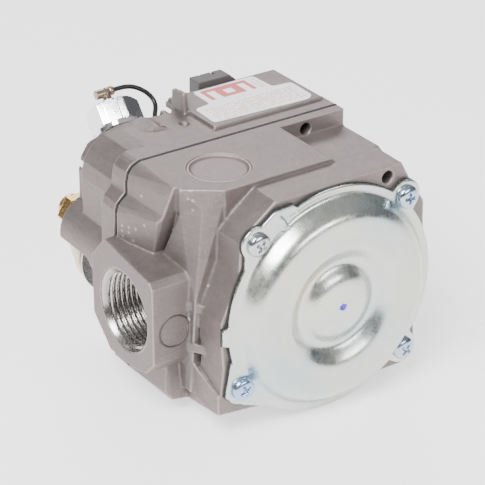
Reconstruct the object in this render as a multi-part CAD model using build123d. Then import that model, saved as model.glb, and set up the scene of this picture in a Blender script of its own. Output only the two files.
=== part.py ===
from build123d import *
import math
import os

# Combination gas control valve, millimetres, real size.
# Origin: centre of the inlet port's face. +X is the flow direction, from inlet to outlet.
# The round diaphragm cover faces -Y, the operator head and its knob face +Y, +Z is up.

# ---- driving dimensions -------------------------------------------------------------------------
FACE_TO_FACE = 101.6       # inlet face to outlet face, 4 in
BODY_TOP = 44.0
BODY_BOTTOM = -31.0
GASKET_Y = 11.0            # parting plane between body and head
GASKET_T = 1.0
HEAD_BACK = 45.0           # rear face of the head casting
HOUSING_BACK = -20.5       # rear of the thick ring that carries the diaphragm
COVER_Y = -33.0            # machined face under the diaphragm
PORT_BORE_R = 12.1         # crests of the 3/4 in pipe thread, drawn as a plain bore
PORT_DEPTH = 20.0
PASSAGE_R = 10.5           # gas way behind each port

COVER_X = 55.4             # axis of the diaphragm, along Y
COVER_Z = 2.8
COVER_R = 39.0
COVER_T = 1.2
DIAPHRAGM_T = 0.8
DIAPHRAGM_ROOM_R = 32.0
VALVE_LIFT = 3.0
SEAT_Y = -13.0
SEAT_R = 10.0

KNOB_X = 25.0              # gas cock axis, along Y
KNOB_Z = -8.0
KNOB_R = 12.5
KNOB_TRAVEL = 3.0

PLUG_X = 32.0              # disc pressed into the top face
PLUG_Y = -6.5
PLUG_R = 10.2

REGULATOR_X = 54.0         # regulator tower axis, along Y
REGULATOR_Z = 14.0
ADJUST_X = 42.0            # pilot adjuster axis, along Y
ADJUST_Z = 30.0
OPERATOR_X = 74.0          # solenoid operator axis, along Y
OPERATOR_Z = 20.0
PILOT_X = 12.0             # pilot outlet axis, along Y
PILOT_Z = 11.0

MAGNET_FOOT = (26.7, 44.8, 39.2)   # centre of the power unit's nut, underside
MAGNET_AXIS = (0.08, 0.749, 0.659) # the unit leans back, square to the head's sloping edge
NUT_AF = 15.7
NUT_H = 7.8
NUT_FLANGE_R = 8.5
NUT_FLANGE_T = 1.9
WELL_R = 6.4

LABEL_Z = 45.2                     # top of the platform that carries the label
BLOCK_LOW = (58.2, HEAD_BACK, 30.0)
BLOCK_HIGH = (73.4, HEAD_BACK + 6.0, 47.3)
TERMINAL_X = (59.9, 64.4, 68.9)
TERMINAL_Z = 38.0

LEAD_R = 0.8                       # lead from the power unit to a hole in the head's sloping edge
LEAD_ROUTE = [
    (30.5, 54.4, 48.3), (34.6, 54.4, 48.6), (39.0, 53.7, 47.6), (43.0, 52.0, 44.8),
    (44.2, 49.4, 41.6), (40.2, 44.6, 39.3), (37.6, 38.8, 37.0),
]

FLOOR_Z = COVER_Z - COVER_R        # lowest line of the cover; the head's feet reach it too
GAP = 0.3                          # clearance between pieces that move past each other

COVER_SCREW_R = 40.0
COVER_SCREW_ANGLES = (135.3, 45.0, 211.3, -43.0)
HEAD_SCREWS = [(15.1, 30.0), (48.0, 40.0), (86.0, 31.0), (13.5, -25.5), (51.0, -26.0), (88.0, -25.5)]
SCREW_HOLE_R = 1.9
SCREW_CLEAR_R = 2.1
HEAD_SCREW_R = 3.2
COUNTERBORE_R = 3.6

os.makedirs("parts", exist_ok=True)


# ---- helpers ------------------------------------------------------------------------------------
def prism_y(points, y_low, y_high):
    """Outline in (x, z), filling y_low to y_high."""
    face = make_face(Plane.XZ * Polyline(*points, close=True))
    return Pos(0, y_high, 0) * extrude(face, y_high - y_low, dir=(0, -1, 0))


def prism_x(points, x_low, x_high):
    """Outline in (y, z), filling x_low to x_high."""
    face = make_face(Plane.YZ * Polyline(*points, close=True))
    return Pos(x_low, 0, 0) * extrude(face, x_high - x_low, dir=(1, 0, 0))


def prism_z(points, z_low, z_high):
    """Outline in (x, y), filling z_low to z_high."""
    face = make_face(Polyline(*points, close=True))
    return Pos(0, 0, z_low) * extrude(face, z_high - z_low, dir=(0, 0, 1))


def rod_y(radius, x, z, y_low, y_high):
    return Pos(x, (y_low + y_high) / 2, z) * Rot(90, 0, 0) * Cylinder(radius, y_high - y_low)


def rod_x(radius, y, z, x_low, x_high):
    return Pos((x_low + x_high) / 2, y, z) * Rot(0, 90, 0) * Cylinder(radius, x_high - x_low)


def rod_z(radius, x, y, z_low, z_high):
    return Pos(x, y, (z_low + z_high) / 2) * Cylinder(radius, z_high - z_low)


def box(x_low, x_high, y_low, y_high, z_low, z_high):
    size = (x_high - x_low, y_high - y_low, z_high - z_low)
    return Pos((x_low + x_high) / 2, (y_low + y_high) / 2, (z_low + z_high) / 2) * Box(*size)


def tube_y(outer, inner, x, z, y_low, y_high):
    return rod_y(outer, x, z, y_low, y_high) - rod_y(inner, x, z, y_low - 1, y_high + 1)


def hex_y(across_flats, x, z, y_low, y_high):
    corner_r = across_flats / math.sqrt(3)
    face = Plane.XZ * RegularPolygon(corner_r, 6)
    return Pos(x, y_high, z) * extrude(face, y_high - y_low, dir=(0, -1, 0))


def turned_y(profile, x, z):
    """Closed (radius, y) outline, turned about the line along Y through (x, z)."""
    face = make_face(Polyline(*profile, close=True))
    return Pos(x, 0, z) * revolve(face, Axis.Y, 360)


def spring_y(mean_r, wire_r, turns, x, z, y_low, y_high):
    """Open coil spring along Y."""
    height = y_high - y_low - 2 * wire_r
    coil = Helix(height / turns, height, mean_r)
    wire = sweep(Plane(coil @ 0, z_dir=coil % 0) * Circle(wire_r), path=coil, is_frenet=True)
    return Pos(x, y_high - wire_r, z) * Rot(90, 0, 0) * wire


def solids_of(pieces):
    """Several separate solids kept as one node."""
    return Compound(children=[piece.solid() for piece in pieces])


def around_cover(angle):
    a = math.radians(angle)
    return COVER_X + COVER_SCREW_R * math.cos(a), COVER_Z + COVER_SCREW_R * math.sin(a)


def mirror_ends(shape):
    """The same shape at the outlet end."""
    return mirror(shape, Plane.YZ.offset(FACE_TO_FACE / 2))


def magnet_place(shape):
    """Stand a shape that was drawn along +Z on the magnet's seat in the head."""
    return Plane(origin=MAGNET_FOOT, x_dir=(1, 0, -0.1), z_dir=MAGNET_AXIS) * shape


def save(name, shape):
    export_step(shape, f"parts/{name}.step")


# ---- shared outlines ----------------------------------------------------------------------------
# Body, gasket and head share this outline on the parting plane, (x, z).
PARTING = [
    (10.5, -31.0), (7.8, -28.5), (7.6, -20.0), (4.4, 16.0), (4.7, 22.4), (4.9, 25.5), (5.0, 28.8),
    (5.7, 31.0), (7.5, 32.8), (9.0, 33.9), (9.0, 37.7), (9.7, 40.8), (11.1, 42.6), (12.7, 43.5),
    (14.1, BODY_TOP), (90.5, BODY_TOP), (90.5, 38.0),
    (95.0, 33.0), (97.2, 28.0), (97.2, 20.0), (94.0, -20.0), (93.8, -28.5), (91.1, -31.0),
]
# Inlet boss, (y, z): an eight-sided cast boss, a little taller at the back.
BOSS = [
    (-17.4, -11.5), (-12.5, -16.8), (-5.0, -18.4), (9.0, -18.4), (19.0, -9.0), (19.0, 12.0),
    (11.0, 20.8), (-15.6, 17.0), (-17.4, 15.0),
]
BOSS_ROOM = [(y * 1.015, z * 1.015) for y, z in BOSS]
# Ring that carries the diaphragm, (x, z).
HOUSING = [
    (13.6, -26.6), (15.6, -10.5), (15.0, -3.0), (15.0, 6.0), (18.0, 12.6), (21.6, 21.3),
    (22.0, 31.0), (27.0, 36.4), (35.0, 42.4), (83.0, 42.4), (86.5, 36.0), (92.6, 26.4),
    (93.0, 16.0), (92.0, 8.0), (92.6, -8.0), (90.6, -18.0), (91.5, -27.0), (86.0, -32.0),
    (76.0, -32.0), (66.0, -34.0), (45.0, -34.0), (30.0, -28.5),
]


# ---- valve body ---------------------------------------------------------------------------------
def wall_upper():
    """Upper step of the side wall, between the gasket and the sloping shoulder."""
    return ConvexPolyhedron([
        (9.0, 11, 33.9), (9.0, 11, 37.7), (9.7, 11, 40.8), (11.1, 11, 42.6), (12.7, 11, 43.5),
        (14.1, 11, BODY_TOP), (26, 11, BODY_TOP), (26, 11, 33.9), (10.6, -7.6, 33.0),
        (11.0, -6.0, 37.5), (11.2, -7.4, 40.1), (12.7, -11, BODY_TOP), (26, -11, BODY_TOP), (26, -7.6, 33.0),
    ])


def wall_lower():
    """Lower step of the side wall, above the port's boss."""
    return ConvexPolyhedron([
        (9.0, 11, 33.9), (7.5, 11, 32.8), (5.7, 11, 31.0), (5.0, 11, 28.8), (4.9, 11, 25.5),
        (4.4, 11, 16.0), (26, 11, 16.0), (26, 11, 33.9), (10.6, -7.6, 33.0), (9.3, -6.2, 31.0),
        (8.5, -2.9, 26.4), (9.8, -2.0, 19.5), (9.8, -2.0, 16.0), (26, -2.0, 16.0), (26, -7.6, 33.0),
    ])


def body_shoulder():
    """Sloping facets between the boss, the top face and the diaphragm ring."""
    top = ConvexPolyhedron([
        (13.4, -12.9, BODY_TOP), (24.4, -21.0, BODY_TOP), (15.0, -10.2, 34.9), (18.6, -17.5, 37.6),
        (24.6, -21.0, 41.0), (45, -21.0, BODY_TOP), (45, -21.0, 30.0), (45, 0, BODY_TOP), (45, 0, 30.0),
        (16, 0, BODY_TOP), (16, 0, 30.0),
    ])
    slope = ConvexPolyhedron([
        (15.0, -10.2, 34.9), (18.6, -17.5, 37.6), (24.6, -20.5, 41.0), (13.7, -16.4, 17.2),
        (12.5, -4.0, 18.8), (13.5, -20.6, 8.0), (13.5, -17.3, -26.0), (13.5, -5.0, -27.0),
        (45, -21.0, 42.0), (45, -5, 36.0), (45, -5, -27.0), (45, -20.6, -27.0),
    ])
    return top + slope


def body_foot():
    """Lower rear corner of the casting, under the inlet boss."""
    return ConvexPolyhedron([
        (7.8, 11, -28.5), (10.5, 11, -31), (7.6, 11, -14), (30, 11, -14), (30, 11, -31),
        (8.0, -11.0, -27.5), (10.0, -12.0, -30.5), (15.5, -12.5, -31), (8.5, -10.5, -14),
        (30, -12.5, -31), (30, -12.5, -14),
    ])


def body_underside():
    """Sloping underside between the foot and the diaphragm ring."""
    return ConvexPolyhedron([
        (15.4, -12.0, -31.0), (13.5, -33.0, -26.5), (13.6, -17.3, -14.0), (13.5, -33.0, -20.0),
        (88.0, -12.0, -31.0), (88.0, -33.0, -26.5), (88.0, -12.0, -14.0), (88.0, -33.0, -20.0),
    ])


def body_core():
    inner = [
        (13.5, -31), (13.5, 14), (15.5, 20), (15.5, BODY_TOP), (64.6, BODY_TOP), (69.5, 38.0), (90.3, 38.0),
        (94.0, 33.0), (94.0, -14.0), (92.0, -31),
    ]
    core = prism_y(inner, -12.0, GASKET_Y)
    front = [
        (24.5, -28), (24.5, BODY_TOP), (64.6, BODY_TOP), (69.5, 38.0), (89.0, 38.0), (90.0, 30.0),
        (90.0, -26.0), (86.0, -30.0),
    ]
    core += prism_y(front, HOUSING_BACK - 0.5, -11.5)
    flange = [
        (60.0, 30.0), (60.0, BODY_TOP), (90.5, BODY_TOP), (90.5, 38.0), (95.0, 33.0), (95.0, 30.0),
    ]
    core += prism_y(flange, 7.2, GASKET_Y)
    return core


def body_ribs():
    """Two short gussets between the boss wall and the notch in the diaphragm ring."""
    plan = [(12.9, -16.9), (12.9, -18.0), (17.5, -27.0), (20.0, -27.0), (20.0, -16.9)]
    return prism_z(plan, 4.5, 7.3) + prism_z(plan, -10.2, -7.2)


def body_shape():
    shape = body_core()
    shape += wall_upper()
    shape += wall_lower()
    shape += mirror_ends(wall_lower())
    shape += body_shoulder()
    shape += body_foot()
    shape += mirror_ends(body_foot())
    shape += body_underside()
    shape += prism_y(HOUSING, COVER_Y, HOUSING_BACK)
    shape += prism_x(BOSS, 0, 20.0)
    shape += mirror_ends(prism_x(BOSS, 0, 20.0))
    shape += body_ribs()
    return shape


def port_cut():
    """Bore of the inlet port."""
    return rod_x(PORT_BORE_R, 0, 0, -1, PORT_DEPTH)


def body_cuts():
    """Ports, gas passages, diaphragm room, tapping and bracket hole."""
    cuts = port_cut()
    cuts += mirror_ends(port_cut())
    cuts += rod_x(PASSAGE_R, 0, 0, PORT_DEPTH - 1, 36.0)
    cuts += rod_y(9.0, 30.0, 0.0, 0.0, GASKET_Y + 1)
    cuts += rod_x(PASSAGE_R, 0, 0, 66.0, FACE_TO_FACE - PORT_DEPTH + 1)
    cuts += rod_y(DIAPHRAGM_ROOM_R, COVER_X, COVER_Z, COVER_Y - 1, -25.0)
    cuts += rod_y(15.0, COVER_X, COVER_Z, -25.5, SEAT_Y)
    cuts += rod_y(SEAT_R + 2.0, COVER_X, COVER_Z, SEAT_Y - 0.5, -4.0)
    cuts += rod_y(7.0, 68.0, 20.0, -18.0, GASKET_Y + 1)
    cuts += box(55.0, 68.0, -17.5, -13.5, 12.0, 22.0)
    cuts += box(57.0, 74.0, -10.0, 6.0, -6.0, 6.0)
    cuts += rod_y(2.1, 75.0, 39.9 + 0.6, 0.0, GASKET_Y + 1)
    cuts += rod_y(2.1, 77.6, 38.6, COVER_Y - 1, -20.0)
    cuts += rod_z(2.4, 92.5, -3.0, 10.0, 22.0)
    return cuts


def plug_seat():
    """Counterbore for the pressed disc in the top face."""
    return rod_z(PLUG_R, PLUG_X, PLUG_Y, BODY_TOP - 3.0, BODY_TOP + 1) + rod_z(
        PLUG_R - 2.0, PLUG_X, PLUG_Y, BODY_TOP - 14.0, BODY_TOP
    )


def valve_body():
    shape = body_shape() - body_cuts()
    shape -= plug_seat()
    for angle in COVER_SCREW_ANGLES:
        x, z = around_cover(angle)
        shape -= rod_y(SCREW_HOLE_R, x, z, COVER_Y - 1, COVER_Y + 9.6)
    for x, z in HEAD_SCREWS:
        shape -= rod_y(SCREW_HOLE_R, x, z, GASKET_Y - 10.4, GASKET_Y + 1)
    return shape


# ---- cover, diaphragm and main valve ------------------------------------------------------------
def cover_outline(y_low, y_high):
    plate = rod_y(COVER_R, COVER_X, COVER_Z, y_low, y_high)
    for angle in COVER_SCREW_ANGLES:
        x, z = around_cover(angle)
        plate += rod_y(5.6, x, z, y_low, y_high)
    lug = [(22.4, 23.0), (22.7, 31.0), (24.2, 33.2), (33.4, 39.9), (40.4, 40.4), (50.0, 30.0), (35.0, 10.0)]
    plate += prism_y(lug, y_low, y_high)
    lug = [(15.3, -20.0), (17.4, -8.0), (30.0, -8.0), (36.0, -30.0), (22.0, -24.5)]
    plate += prism_y(lug, y_low, y_high)
    plate += box(14.4, 20.0, y_low, y_high, -1.4, 4.6)
    return plate


def dome_profile(inset):
    """Outer line of the stamped dome as (radius, distance in front of the flange)."""
    return [
        (35.8, 0.0 - inset), (34.6 - inset, 3.4), (33.0 - inset * 0.6, 5.6 - inset * 0.6),
        (30.6, 6.6 - inset), (20.0, 7.0 - inset), (16.2 + inset, 3.2 - inset),
        (13.9 - inset, 2.4 - inset), (12.8 - inset, 4.6), (11.6 - inset * 0.6, 6.0 - inset * 0.6),
        (9.6, 6.4 - inset), (0.0, 6.4 - inset),
    ]


def diaphragm_cover():
    back = COVER_Y - DIAPHRAGM_T
    front = back - COVER_T
    plate = cover_outline(front, back)
    outer = [(r, front - d) for r, d in dome_profile(0.0)] + [(0.0, front), (35.8, front)]
    plate += turned_y(outer[:-1], COVER_X, COVER_Z)
    inner = [(r, front - d) for r, d in dome_profile(COVER_T)]
    inner = [(34.4, back + 1.0)] + inner[1:] + [(0.0, back + 1.0)]
    plate -= turned_y(inner, COVER_X, COVER_Z)
    plate -= screw_holes_in_cover(front, back)
    return plate


def screw_holes_in_cover(front, back):
    holes = None
    for angle in COVER_SCREW_ANGLES:
        x, z = around_cover(angle)
        hole = rod_y(2.2, x, z, front - 1, back + 1)
        holes = hole if holes is None else holes + hole
    return holes


def pan_screw(x, z, y_face, shank_r, length, head_r, towards):
    """Cross-recess pan-head screw along Y; the head stands out of y_face, towards -1 or +1."""
    head_h = head_r * 0.72
    profile = [
        (0, 0), (head_r, 0), (head_r, head_h * 0.45), (head_r * 0.8, head_h * 0.85),
        (head_r * 0.45, head_h), (0, head_h),
    ]
    turned = [(r, y_face + towards * h) for r, h in profile]
    screw = turned_y(turned, x, z)
    shank = sorted((y_face, y_face - towards * length))
    screw += rod_y(shank_r, x, z, shank[0], shank[1])
    deep = sorted((y_face + towards * head_h * 0.4, y_face + towards * (head_h + 1)))
    screw -= box(x - head_r * 0.6, x + head_r * 0.6, deep[0], deep[1], z - 0.35, z + 0.35)
    screw -= box(x - 0.35, x + 0.35, deep[0], deep[1], z - head_r * 0.6, z + head_r * 0.6)
    return screw


def cover_screws():
    face = COVER_Y - DIAPHRAGM_T - COVER_T
    return [pan_screw(*around_cover(a), face, 1.8, 11.0, 3.9, -1) for a in COVER_SCREW_ANGLES]


def main_diaphragm():
    sheet = cover_outline(COVER_Y - DIAPHRAGM_T, COVER_Y) & rod_y(60, COVER_X, COVER_Z, -40, -30)
    sheet -= rod_y(4.3, COVER_X, COVER_Z, -40, -30)
    sheet -= screw_holes_in_cover(COVER_Y - DIAPHRAGM_T, COVER_Y)
    return sheet


def diaphragm_plates():
    """Front and rear backing plates, held on the stem's shoulder."""
    front = tube_y(9.6, 3.0, COVER_X, COVER_Z, -35.3, -34.1)
    rear = tube_y(22.0, 3.0, COVER_X, COVER_Z, -32.7, -31.5)
    hub = tube_y(4.0, 3.0, COVER_X, COVER_Z, -34.2, -32.6)
    return front + rear + hub


def main_valve_stem():
    stem = rod_y(3.0, COVER_X, COVER_Z, -36.0, -6.0)
    stem += rod_y(5.0, COVER_X, COVER_Z, -31.5, -29.5)
    stem += rod_y(5.0, COVER_X, COVER_Z, -20.5, -19.0)
    return stem


def main_valve_disc():
    return tube_y(13.0, 3.0, COVER_X, COVER_Z, -19.0, SEAT_Y - 2.3)


def main_valve_seat():
    """Seat ring pressed into the body."""
    profile = [
        (SEAT_R - 1.5, SEAT_Y - 2.0), (SEAT_R - 0.7, SEAT_Y - 2.0), (SEAT_R + 0.6, SEAT_Y),
        (SEAT_R + 2.0, SEAT_Y), (SEAT_R + 2.0, -9.0), (SEAT_R - 1.5, -9.0),
    ]
    return turned_y(profile, COVER_X, COVER_Z)


def main_valve_guide():
    """Spider behind the seat that keeps the stem straight."""
    ring = tube_y(SEAT_R + 2.0, SEAT_R - 0.5, COVER_X, COVER_Z, -9.0, -6.5)
    hub = tube_y(5.2, 3.05, COVER_X, COVER_Z, -9.0, -4.5)
    guide = ring + hub
    for i in range(3):
        arm = box(4.9, SEAT_R + 0.2, -9.0, -6.5, -1.2, 1.2)
        guide += Pos(COVER_X, 0, COVER_Z) * Rot(0, 120 * i + 30, 0) * arm
    return guide


# ---- head ---------------------------------------------------------------------------------------
def head_gasket():
    sheet = prism_y(PARTING, GASKET_Y, GASKET_Y + GASKET_T)
    sheet -= box(-1, 20.6, 0, 20, -18.8, 21.3)
    sheet -= box(FACE_TO_FACE - 20.6, FACE_TO_FACE + 1, 0, 20, -18.8, 21.3)
    sheet -= rod_y(9.0, 30.0, 0.0, 0, 20)
    sheet -= rod_y(7.0, 68.0, 20.0, 0, 20)
    sheet -= rod_y(2.1, 75.0, 40.5, 0, 20)
    for x, z in HEAD_SCREWS:
        sheet -= rod_y(SCREW_CLEAR_R, x, z, 0, 20)
    return sheet


def head_shape():
    front = GASKET_Y + GASKET_T
    shape = prism_y(PARTING, front, front + 8.0)
    left = [
        (10.5, -28), (8.0, -24), (8.0, 30), (9.0, 35), (11.5, 39), (16.5, 42.6), (22, 44), (60, 44),
        (60, -31),
    ]
    shape += prism_y(left, front, 38.0)
    shape += prism_y([(x + 3.0 if x < 20 else x, z * 0.94) for x, z in left], 30.0, HEAD_BACK)
    right = [(45, -31), (45, 44), (89.5, 44), (90.5, 43), (90.5, 36), (94.5, 30), (94.5, -24), (91, -31)]
    shape += prism_y(right, front, HEAD_BACK)
    shape += box(46.0, 88.8, 17.0, HEAD_BACK, 40.0, LABEL_Z)
    shape += rod_y(12.0, 15.5, 6.8, 20.0, HEAD_BACK + 1.0)
    shape += rod_y(15.0, KNOB_X + 1.0, KNOB_Z, 20.0, HEAD_BACK + 1.0)
    shape += rod_y(12.0, REGULATOR_X, REGULATOR_Z, 20.0, HEAD_BACK + 3.0)
    shape += ConvexPolyhedron([
        (14, 24, 36), (14, 44.5, 34), (36, 24, 43), (38, 44.5, 42), (17.5, 30, 41.8),
        (18.5, 44, 40.5), (31, 28, 45.6), (30, 44, 45.0), (36, 24, 30), (38, 44.5, 30), (14, 24, 30),
    ])
    shape += ConvexPolyhedron([
        (44.3, 32, 42), (46.1, 32, 42), (44.3, 41, 42), (46.1, 41, 42),
        (44.3, 33, 51.2), (46.1, 33, 51.2), (44.3, 40, 50.5), (46.1, 40, 50.5),
    ])
    shape += box(20.0, 84.0, 18.0, 42.0, FLOOR_Z, -28.0)
    return shape


def head_casting():
    shape = head_shape()
    shape -= box(28.0, 76.0, 17.0, 43.0, FLOOR_Z - 1, -33.5)
    shape -= prism_x(BOSS_ROOM, -1, 20.5)
    shape -= mirror_ends(prism_x(BOSS_ROOM, -1, 20.5))
    shape -= prism_y([(-5, -40), (-5, 2), (4.0, 5.2), (10.5, -1.2), (17, -12), (20, -30), (20, -40)], 28, 60)
    shape -= Pos(40.8, 27.0, 45.5) * Rot(-14, 10, 0) * Cone(0.2, 5.0, 9.0)
    shape -= Pos(33.0, 29.0, 44.0) * Cylinder(1.5, 8.0)
    shape -= head_passages()
    shape -= magnet_place(Pos(-0.2, 0, 10.0 - NUT_FLANGE_T) * Box(31.6, 40.0, 20.0))
    shape -= magnet_place(Pos(0, 0, -16.0) * Cylinder(WELL_R, 34.0))
    shape -= lead_hole()
    for x, z in HEAD_SCREWS:
        shape -= rod_y(SCREW_CLEAR_R, x, z, 10, 60)
        shape -= rod_y(COUNTERBORE_R, x, z, GASKET_Y + 12.0, 60)
    return shape


def lead_hole():
    """Slanting hole that takes the end of the lead."""
    end = Vector(*LEAD_ROUTE[-1])
    run = Vector(*LEAD_ROUTE[-2]) - end
    return Plane(origin=end, z_dir=run) * Pos(0, 0, 2.5) * Cylinder(LEAD_R + 0.4, 6.0)


def head_passages():
    """Cock bore, safety-valve well, regulator and solenoid rooms, pilot drilling."""
    cuts = turned_y([(0, 20.5), (6.97, 20.5), (7.6, 31), (8.6, 31), (8.6, 60), (0, 60)], KNOB_X, KNOB_Z)
    cuts += rod_y(9.0, 30.0, 0.0, 10, 16.0)
    cuts += rod_y(3.5, 29.0, -4.0, 15.0, 20.6)
    cuts += rod_y(7.0, 68.0, 20.0, 10, 16.0)
    cuts += rod_y(8.0, REGULATOR_X, REGULATOR_Z, 18.0, 60)
    cuts += rod_y(11.2, OPERATOR_X, OPERATOR_Z, 18.0, 60)
    cuts += rod_y(3.2, PILOT_X, PILOT_Z, 30.0, 60)
    cuts += rod_y(2.6, ADJUST_X, ADJUST_Z, 30.0, 60)
    return cuts


def head_screws():
    y = GASKET_Y + 12.0
    return [pan_screw(x, z, y, 1.8, 21.0, HEAD_SCREW_R, 1) for x, z in HEAD_SCREWS]


# ---- gas cock and knob --------------------------------------------------------------------------
def cock_plug():
    """Tapered plug with a cross port, and the stem that the knob turns."""
    run = 0.05
    plug = turned_y([(0, 21), (7.0 - run, 21), (7.6 - run, 31), (0, 31)], KNOB_X, KNOB_Z)
    plug += rod_y(3.0, KNOB_X, KNOB_Z, 30.5, 52.5)
    plug -= rod_x(2.6, 26.0, KNOB_Z, KNOB_X - 20, KNOB_X + 20)
    plug -= rod_y(2.6, KNOB_X, KNOB_Z, 10, 26.0)
    plug -= box(KNOB_X - 4, KNOB_X + 4, 46.9, 60, KNOB_Z + 2.0, KNOB_Z + 4)
    return plug


def cock_bush():
    """Pressed cover of the cock bore, with the stem's bearing."""
    bush = tube_y(8.6, 3.05, KNOB_X, KNOB_Z, 42.0, 45.0)
    return bush + tube_y(13.5, 3.05, KNOB_X, KNOB_Z, HEAD_BACK + 1.0, HEAD_BACK + 1.8) + tube_y(
        8.0, 3.05, KNOB_X, KNOB_Z, 44.5, HEAD_BACK + 1.2
    )


def knob():
    """Push-and-turn knob: skirt, fluted grip and D-shaped bore."""
    base = HEAD_BACK + 1.8 + GAP + KNOB_TRAVEL
    profile = [
        (0, base), (KNOB_R, base), (KNOB_R, base + 3.0), (KNOB_R - 1.6, base + 4.2),
        (KNOB_R - 3.0, base + 11.0), (KNOB_R - 4.0, base + 12.0), (0, base + 12.0),
    ]
    piece = turned_y(profile, KNOB_X, KNOB_Z)
    for i in range(12):
        a = math.radians(30 * i + 15)
        x = KNOB_X + (KNOB_R - 0.4) * math.cos(a)
        z = KNOB_Z + (KNOB_R - 0.4) * math.sin(a)
        piece -= rod_y(1.3, x, z, base + 4.6, base + 13)
    bore = rod_y(3.05, KNOB_X, KNOB_Z, base - 1, base + 6.0)
    bore -= box(KNOB_X - 4, KNOB_X + 4, base - 2, base + 7, KNOB_Z + 2.08, KNOB_Z + 5)
    piece -= bore
    piece -= tube_y(KNOB_R - 2.0, 5.2, KNOB_X, KNOB_Z, base - 1, base + 2.6)
    piece -= box(KNOB_X - 0.5, KNOB_X + 0.5, base + 11.4, base + 13, KNOB_Z + 2, KNOB_Z + 8)
    return piece


def knob_spring():
    base = HEAD_BACK + 1.8
    return spring_y(8.4, 0.45, 5, KNOB_X, KNOB_Z, base, base + GAP + KNOB_TRAVEL + 2.6)


def cock_spring():
    """Spring that keeps the tapered plug seated."""
    return spring_y(5.6, 0.5, 4, KNOB_X, KNOB_Z, 31.3, 41.9)


# ---- safety magnet ------------------------------------------------------------------------------
def magnet_nut():
    """Flanged hexagon that clamps the power unit in the head."""
    corner_r = NUT_AF / math.sqrt(3)
    blank = extrude(RegularPolygon(corner_r, 6, rotation=30), NUT_H)
    blank &= Pos(0, 0, NUT_H / 2) * Cylinder(corner_r, NUT_H) - Pos(0, 0, NUT_H) * (
        Cylinder(20, 3.2) - Cone(corner_r + 2.4, NUT_AF / 2 - 0.3, 3.2)
    )
    blank += Pos(0, 0, -NUT_FLANGE_T / 2) * Cylinder(NUT_FLANGE_R, NUT_FLANGE_T)
    blank += Pos(0, 0, -3.0) * Cylinder(WELL_R - 0.1, 6.0)
    blank -= Pos(0, 0, NUT_H / 2) * Cylinder(3.2, NUT_H + 20)
    return magnet_place(blank)


def magnet_can():
    """Closed can of the power unit, hanging from the nut inside its well."""
    can = Pos(0, 0, -16.0) * Cylinder(6.0, 20.0) - Pos(0, 0, -17.0) * Cylinder(5.3, 20.0)
    can += Pos(0, 0, (NUT_H + 1.2 - 6.0) / 2) * Cylinder(3.0, NUT_H + 1.2 + 6.0)
    return magnet_place(can)


def magnet_core():
    """U-shaped iron core and its foot."""
    core = Pos(-2.6, 0, -12.4) * Box(1.9, 5.0, 9.0) + Pos(2.6, 0, -12.4) * Box(1.9, 5.0, 9.0)
    core += Pos(0, 0, -8.9) * Box(7.1, 5.0, 2.0)
    core += Pos(0, 0, -7.5) * Cylinder(2.0, 1.0)
    return magnet_place(core)


def magnet_coil():
    """Few turns of heavy wire on one leg of the core."""
    coil = None
    for i in range(5):
        turn = Pos(2.6, 0, -11.3 - i * 1.05) * (Box(2.9, 6.0, 0.9) - Box(2.0, 5.1, 2.0))
        coil = turn if coil is None else coil + turn
    return magnet_place(coil + Pos(2.6, 2.8, -13.4) * Box(0.6, 0.4, 5.0))


def magnet_armature():
    """Keeper plate, its stem and the rubber-faced safety disc's carrier."""
    keeper = Pos(0, 0, -20.6) * Box(7.0, 5.0, 1.2) + Pos(0, 0, -24.6) * Cylinder(1.2, 7.0)
    keeper += Pos(0, 0, -28.0) * Cylinder(4.6, 0.8)
    return magnet_place(keeper)


def safety_valve_disc():
    """Rubber face of the pilot safety valve."""
    return magnet_place(Pos(0, 0, -29.1) * Cylinder(5.0, 1.4))


# ---- regulator, operator, pilot -----------------------------------------------------------------
def regulator_screw():
    """Slotted plastic adjusting screw inside the regulator tower."""
    screw = rod_y(7.9, REGULATOR_X, REGULATOR_Z, 38.0, 42.0)
    return screw - box(REGULATOR_X - 5, REGULATOR_X + 5, 40.5, 43, REGULATOR_Z - 0.6, REGULATOR_Z + 0.6)


def regulator_cap():
    cap = tube_y(10.4, 7.0, REGULATOR_X, REGULATOR_Z, HEAD_BACK + 3.0, HEAD_BACK + 4.0)
    cap += rod_y(10.4, REGULATOR_X, REGULATOR_Z, HEAD_BACK + 4.0, HEAD_BACK + 6.5)
    cap += tube_y(8.0, 7.0, REGULATOR_X, REGULATOR_Z, HEAD_BACK - 1.5, HEAD_BACK + 3.5)
    slot = box(-6, 6, HEAD_BACK + 5, HEAD_BACK + 8, -0.8, 0.8)
    return cap - Pos(REGULATOR_X, 0, REGULATOR_Z) * slot


def regulator_spring():
    return spring_y(5.8, 0.5, 8, REGULATOR_X, REGULATOR_Z, 21.2, 37.7)


def regulator_diaphragm():
    return rod_y(8.0, REGULATOR_X, REGULATOR_Z, 19.6, 21.2) + rod_y(2.0, REGULATOR_X, REGULATOR_Z, 18.1, 20.0)


def operator_coil():
    """Bobbin and winding of the low-voltage operator."""
    bobbin = tube_y(9.2, 4.2, OPERATOR_X, OPERATOR_Z, 26.0, 40.0)
    bobbin += tube_y(11.0, 4.2, OPERATOR_X, OPERATOR_Z, 25.0, 26.0)
    bobbin += tube_y(11.0, 4.2, OPERATOR_X, OPERATOR_Z, 40.0, 41.0)
    return bobbin


def operator_frame():
    """Steel can end with the fixed pole."""
    frame = rod_y(11.2, OPERATOR_X, OPERATOR_Z, 41.0, HEAD_BACK)
    frame += rod_y(4.0, OPERATOR_X, OPERATOR_Z, 36.0, 41.5)
    return frame


def operator_plunger():
    plunger = rod_y(4.0, OPERATOR_X, OPERATOR_Z, 21.5, 34.0)
    return plunger + rod_y(5.6, OPERATOR_X, OPERATOR_Z, 20.0, 22.0)


def operator_spring():
    return spring_y(7.2, 0.4, 3, OPERATOR_X, OPERATOR_Z, 22.2, 25.0)


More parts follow.
